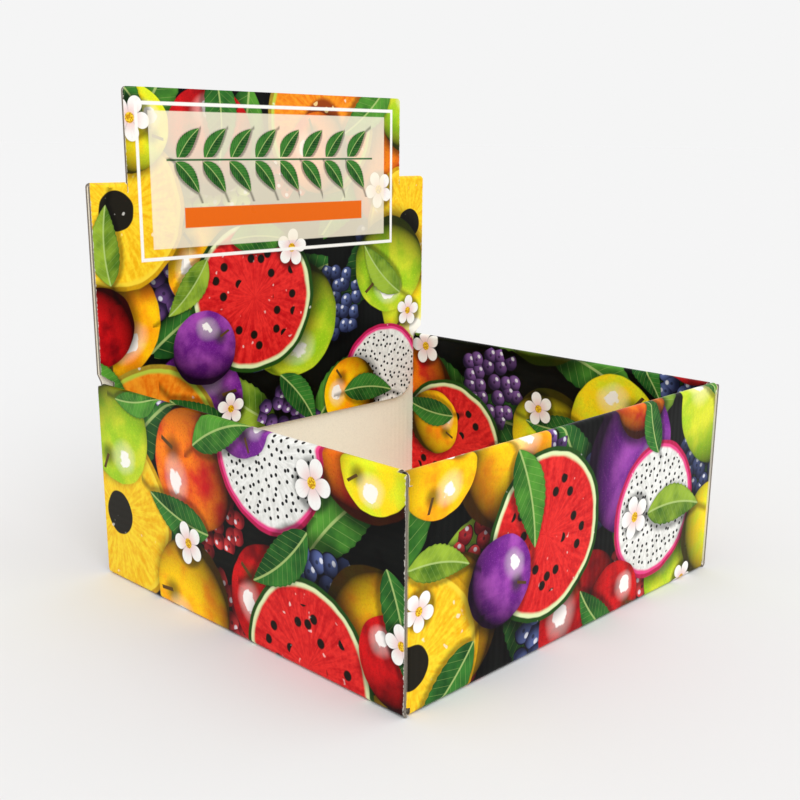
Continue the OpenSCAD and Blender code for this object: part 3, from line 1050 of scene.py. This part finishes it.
class DISPLAY_BOX_OT_rear_leaf(bpy.types.Operator):
    """Folds the lid's rear leaf: up from its crease and over the fold at both shoulders"""

    bl_idname = "display_box.rear_leaf"
    bl_label = "Fold rear leaf"

    def execute(self, context):
        size = sizes()
        mesh = SheetMesh()
        window = size.tab_half + size.kerf
        window_share = window / size.half_w
        foot = size.tray_h + size.crease_band
        slope_top = size.tray_h + size.crease / 2 + size.leaf_slope
        z = samples([foot, slope_top, size.window_z, size.fold_z], size.cell)[:, None]
        share = samples([-1, -window_share, window_share, 1], size.cell / size.half_w)
        x = leaf_half(size, size.wall_half, z) * share
        beside = np.abs(middles(share)) > window_share
        mask = beside | (middles(z) < size.window_z)
        whole = (z == z[0]) | (z == z[-1])
        add_upright(mesh, x, z, size.half_d, "back", 1, mask, whole, size.fold_slack)
        self.add_roll(mesh, size, share, beside)
        add_flutes(mesh, (-window, size.half_d, size.window_z), (1, 0, 0), (0, 0, -1), (0, -1, 0), 2 * window)
        piece = mesh.make("rear_leaf_board", "Printed board")
        put_on(piece, "rear_leaf", "lid_rear_leaf")
        return {"FINISHED"}

    def add_roll(self, mesh, size, share, beside):
        """Fold over the shoulders: a half circle from the back to the front, its outer ends rounded off.
        The front leaf's print goes on over it."""
        radius = size.leaf_out
        arc = np.linspace(0, math.pi, ROLL_POINTS)[:, None]
        height = np.sin(arc)
        half = size.half_w - drawn_in(radius, END_ROUND * radius * height)
        rounded = np.abs(share) > size.tab_half / size.half_w + STRAIGHT_SHARE
        x = np.where(rounded, half, size.half_w) * share
        face = spread(x, size.half_d - radius + radius * np.cos(arc), size.fold_z + radius * height)
        normal = spread(0.0, -np.cos(arc), -height)
        flat = spread(x, size.fold_z + radius * (math.pi - arc))
        # The fold's crest gets wear that is partly a painted sheen
        mesh.add(face, normal, flat, "header", x, beside, wear=SHOULDER_WEAR_AND_SHEEN * (height > SHOULDER_WORN_AND_SHEEN_FROM),
                 whole=(arc == arc[0]) | (arc == arc[-1]))


class DISPLAY_BOX_OT_front_leaf(bpy.types.Operator):
    """Cuts the lid's front leaf with its raised tab and its round-cornered tuck"""

    bl_idname = "display_box.front_leaf"
    bl_label = "Cut front leaf"

    def execute(self, context):
        size = sizes()
        mesh = SheetMesh()
        tuck_r, tab_r = size.tuck_radius, size.tab_radius
        tab_share = size.tab_half / size.half_w
        tuck_corner, tab_corner = size.tuck_foot + tuck_r, size.tab_top - tab_r
        foot = size.tray_h + size.crease / 2
        leaf_top = size.fold_z - size.crease_band
        tuck = tuck_corner - tuck_r * np.cos(np.linspace(0, math.pi / 2, TUCK_POINTS))
        leaf = samples([tuck_corner, foot, foot + size.leaf_slope, leaf_top, size.fold_z - size.crease / 2],
                       size.cell)[1:]
        tab = samples([leaf[-1], tab_corner], size.cell)[1:]
        tip = tab_corner + tab_r * np.sin(np.linspace(0, math.pi / 2, TIP_POINTS))[1:]
        z = np.concatenate([tuck, leaf, tab, tip])[:, None]
        half = leaf_half(size, size.tuck_half, z) - drawn_in(tuck_r, tuck_corner - z)
        narrow = 1 - drawn_in(tab_r, z - tab_corner) / size.tab_half
        share = samples([-1, -tab_share, tab_share, 1], size.cell / size.half_w)
        mask = (middles(z) < leaf_top) | (np.abs(middles(share)) < tab_share)
        whole = (np.abs(z - leaf_top) < NEAR) & (np.abs(share) > tab_share + SHARE_NEAR)
        add_upright(mesh, half * narrow * share, z, size.front_y, "header", -1, mask, whole)
        ends = ((size.tab_half - tab_r, size.tab_top, -1), (size.tuck_half - tuck_r, size.tuck_foot, 1))
        for reach, height, inward in ends:
            add_flutes(mesh, (-reach, size.front_y, height), (1, 0, 0), (0, 0, inward), (0, 1, 0), 2 * reach)
        piece = mesh.make("front_leaf_board", "Printed header")
        put_on(piece, "front_leaf", "lid_front_leaf")
        return {"FINISHED"}


class DISPLAY_BOX_OT_creases(bpy.types.Operator):
    """Bridges the two creases that turn, so that the sheet stays whole as the lid moves"""

    bl_idname = "display_box.creases"
    bl_label = "Bridge creases"

    def execute(self, context):
        size = sizes()
        mesh = SheetMesh()
        low, high = size.tray_h - size.crease_band, size.tray_h + size.crease_band
        z = np.linspace(low, high, LID_CREASE_POINTS)[:, None]
        x = leaf_half(size, size.wall_half, z) * samples([-1, 1], size.cell / size.half_w)
        add_upright(mesh, x, z, size.half_d, "back", 1, whole=True, slack=size.fold_slack)
        piece = mesh.make("lid_crease", "Printed board")
        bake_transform(piece)
        mesh = SheetMesh()
        low, high = size.fold_z - size.crease_band, size.fold_z
        z = np.linspace(low, high, SHOULDER_CREASE_POINTS)[:, None]
        for side in (-1, 1):
            x = side * samples([size.tab_half + size.kerf, size.half_w], size.cell)
            add_upright(mesh, x, z, size.front_y, "header", -1, whole=True)
        piece = mesh.make("shoulder_creases", "Printed header")
        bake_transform(piece)
        return {"FINISHED"}


# Stage

# Half side of the floor and its points along one side
FLOOR_REACH, FLOOR_POINTS = 60.0, 33
# Just under the tray, so that the two faces are not one
FLOOR_DROP = 0.0002
FLOOR_TONE, FLOOR_ROUGHNESS = 0.782, 0.9
# Strength of the world as light, and as the camera and reflections see it
WORLD_LIGHT, WORLD_SEEN = 0.73, 0.913
# Lamps: direction towards them, power, and spread in degrees
LAMPS = {
    "key": ((-0.50, -0.70, 0.62), 1.35, 50),
    "fill": ((0.70, -0.60, 0.50), 0.30, 70),
    "top": ((0.05, -0.15, 1.00), 0.45, 60),
}
LAMP_DISTANCE = 2
CAMERA_PLACE = (-0.34320, -0.32778, 0.18929)
CAMERA_HEADING, CAMERA_TILT, CAMERA_ROLL = 45.670, 14.687, 0.466
FOCAL_PIXELS, IMAGE_PIXELS = 1105.85, 800
SENSOR, CLIP_START = 36, 0.01
HORIZON_SHIFT = 0.04


def add_aimed(name, data, right, up, back, place):
    """A lamp or camera at place, with its own axes along right, up and back."""
    aimed = bpy.data.objects.new(name, data)
    aimed.matrix_world = Matrix([*np.stack([right, up, back, place], 1).tolist(), [0, 0, 0, 1]])
    bpy.context.collection.objects.link(aimed)
    return aimed


def add_camera():
    """Camera at the photograph's place: heading from +Y towards +X, tilted down, with its frame shifted."""
    a, e, r = (math.radians(angle) for angle in (CAMERA_HEADING, CAMERA_TILT, CAMERA_ROLL))
    ahead = np.array([math.sin(a) * math.cos(e), math.cos(a) * math.cos(e), -math.sin(e)])
    level = np.array([math.cos(a), -math.sin(a), 0.0])
    above = np.cross(level, ahead)
    right = math.cos(r) * level + math.sin(r) * above
    up = math.cos(r) * above - math.sin(r) * level
    data = bpy.data.cameras.new("camera")
    data.sensor_width = SENSOR
    data.lens = FOCAL_PIXELS / IMAGE_PIXELS * data.sensor_width
    data.shift_y = HORIZON_SHIFT
    data.clip_start = CLIP_START
    bpy.context.scene.camera = add_aimed("camera", data, right, up, -ahead, CAMERA_PLACE)


def add_lamp(name, towards, power, spread_angle):
    """Far soft lamp in the direction towards, as wide as its spread."""
    data = bpy.data.lights.new(name, "SUN")
    data.energy, data.angle = power, math.radians(spread_angle)
    back = np.array(towards) / np.linalg.norm(towards)
    side = np.cross((0, 0, 1), back)
    side /= np.linalg.norm(side)
    add_aimed(name, data, side, np.cross(back, side), back, LAMP_DISTANCE * back)


class DISPLAY_BOX_OT_stage(bpy.types.Operator):
    """Sets the pale floor, the soft lamps, the world and the camera"""

    bl_idname = "display_box.stage"
    bl_label = "Set stage"

    def execute(self, context):
        mesh = bpy.data.meshes.new("floor")
        line = np.linspace(-FLOOR_REACH, FLOOR_REACH, FLOOR_POINTS)
        points = spread(line[:, None], line, -FLOOR_DROP)
        quads = cell_corners(points.shape[:2])[..., ::-1]
        mesh.from_pydata(points.reshape(-1, 3).tolist(), [], quads.reshape(-1, 4).tolist())
        material, _, shader = surface("Pale floor")
        shader.inputs["Base Color"].default_value = (FLOOR_TONE, FLOOR_TONE, FLOOR_TONE, 1)
        shader.inputs["Roughness"].default_value = FLOOR_ROUGHNESS
        shader.inputs["Specular IOR Level"].default_value = 0.0
        mesh.materials.append(material)
        floor = bpy.data.objects.new("floor", mesh)
        context.collection.objects.link(floor)
        world = bpy.data.worlds.new("studio")
        world.use_nodes = True
        sky = Nodes(world.node_tree)
        path = sky.put("LightPath").outputs
        seen = sky.math("MAXIMUM", path["Is Camera Ray"], path["Is Glossy Ray"])
        background = world.node_tree.nodes["Background"].inputs
        sky.tree.links.new(sky.span(seen, 0.0, 1.0, WORLD_LIGHT, WORLD_SEEN), background["Strength"])
        background["Color"].default_value = (1, 1, 1, 1)
        context.scene.world = world
        for name, lamp in LAMPS.items():
            add_lamp(name, *lamp)
        add_camera()
        context.scene.view_settings.view_transform = "Standard"
        return {"FINISHED"}


class DISPLAY_BOX_PT_panel(bpy.types.Panel):
    """Sizes, colours and steps of the display box"""

    bl_idname = "DISPLAY_BOX_PT_panel"
    bl_label = "Display Box"
    bl_space_type = "VIEW_3D"
    bl_region_type = "UI"
    bl_category = "Display Box"

    def draw(self, context):
        for group_name, names in (("box_sizes", BoardSizes), ("box_colours", PrintColours)):
            for name in names.__annotations__:
                self.layout.prop(getattr(context.scene, group_name), name)
        for operator in OPERATORS:
            self.layout.operator(operator.bl_idname)


OPERATORS = (DISPLAY_BOX_OT_tray, DISPLAY_BOX_OT_rear_leaf, DISPLAY_BOX_OT_front_leaf, DISPLAY_BOX_OT_creases,
             DISPLAY_BOX_OT_stage)
CLASSES = (BoardSizes, PrintColours, *OPERATORS, DISPLAY_BOX_PT_panel)


def register():
    """Registers the classes and hangs the two property groups on the scene."""
    for cls in CLASSES:
        bpy.utils.register_class(cls)
    bpy.types.Scene.box_sizes = bpy.props.PointerProperty(type=BoardSizes)
    bpy.types.Scene.box_colours = bpy.props.PointerProperty(type=PrintColours)


def unregister():
    """Takes the property groups and the classes away again."""
    del bpy.types.Scene.box_sizes
    del bpy.types.Scene.box_colours
    for cls in reversed(CLASSES):
        bpy.utils.unregister_class(cls)


def main():
    register()
    bpy.ops.display_box.tray()
    bpy.ops.display_box.rear_leaf()
    bpy.ops.display_box.front_leaf()
    bpy.ops.display_box.creases()
    bpy.ops.display_box.stage()


if __name__ == "__main__":
    main()
